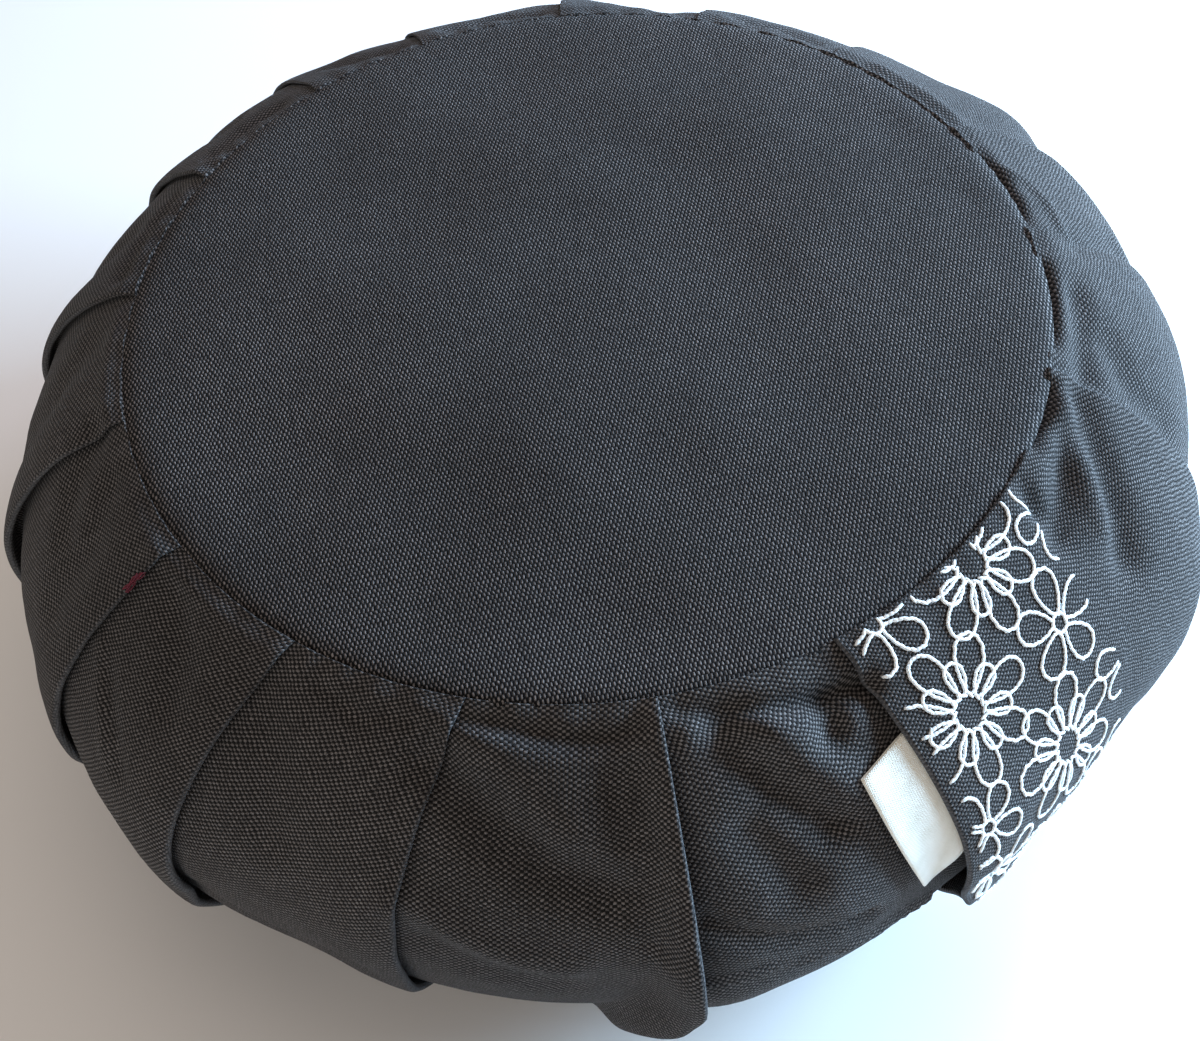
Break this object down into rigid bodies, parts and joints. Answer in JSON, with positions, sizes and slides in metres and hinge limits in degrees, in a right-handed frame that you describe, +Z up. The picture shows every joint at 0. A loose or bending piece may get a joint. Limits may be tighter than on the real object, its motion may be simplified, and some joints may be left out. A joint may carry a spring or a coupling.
{
  "type": "zafu meditation cushion",
  "caption": "Round filled floor cushion with flat top and bottom panels, a knife-pleated side band, one embroidered side panel and a small loop tab.",
  "frame": {"origin": "on the floor plane under the middle of the cushion, where its axis meets the bottom panel", "axes": "+Z up along the cushion's axis; -Y is the side that faces the viewer, with the embroidered panel at its right"},
  "size_m": [0.3991, 0.4129, 0.161],
  "materials": {
    "canvas": "charcoal plain-weave cotton canvas, matt, with pale flecks where the threads cross",
    "embroidered_canvas": "the same charcoal canvas with raised off-white embroidery thread",
    "label_cotton": "cream cotton tape, folded double, left bare"
  },
  "bodies": {
    "root": {"pleated_side": "canvas", "top_panel": "canvas", "bottom_panel": "canvas", "embroidered_panel": "embroidered_canvas", "label_tab": "label_cotton"}
  },
  "joints": []
}
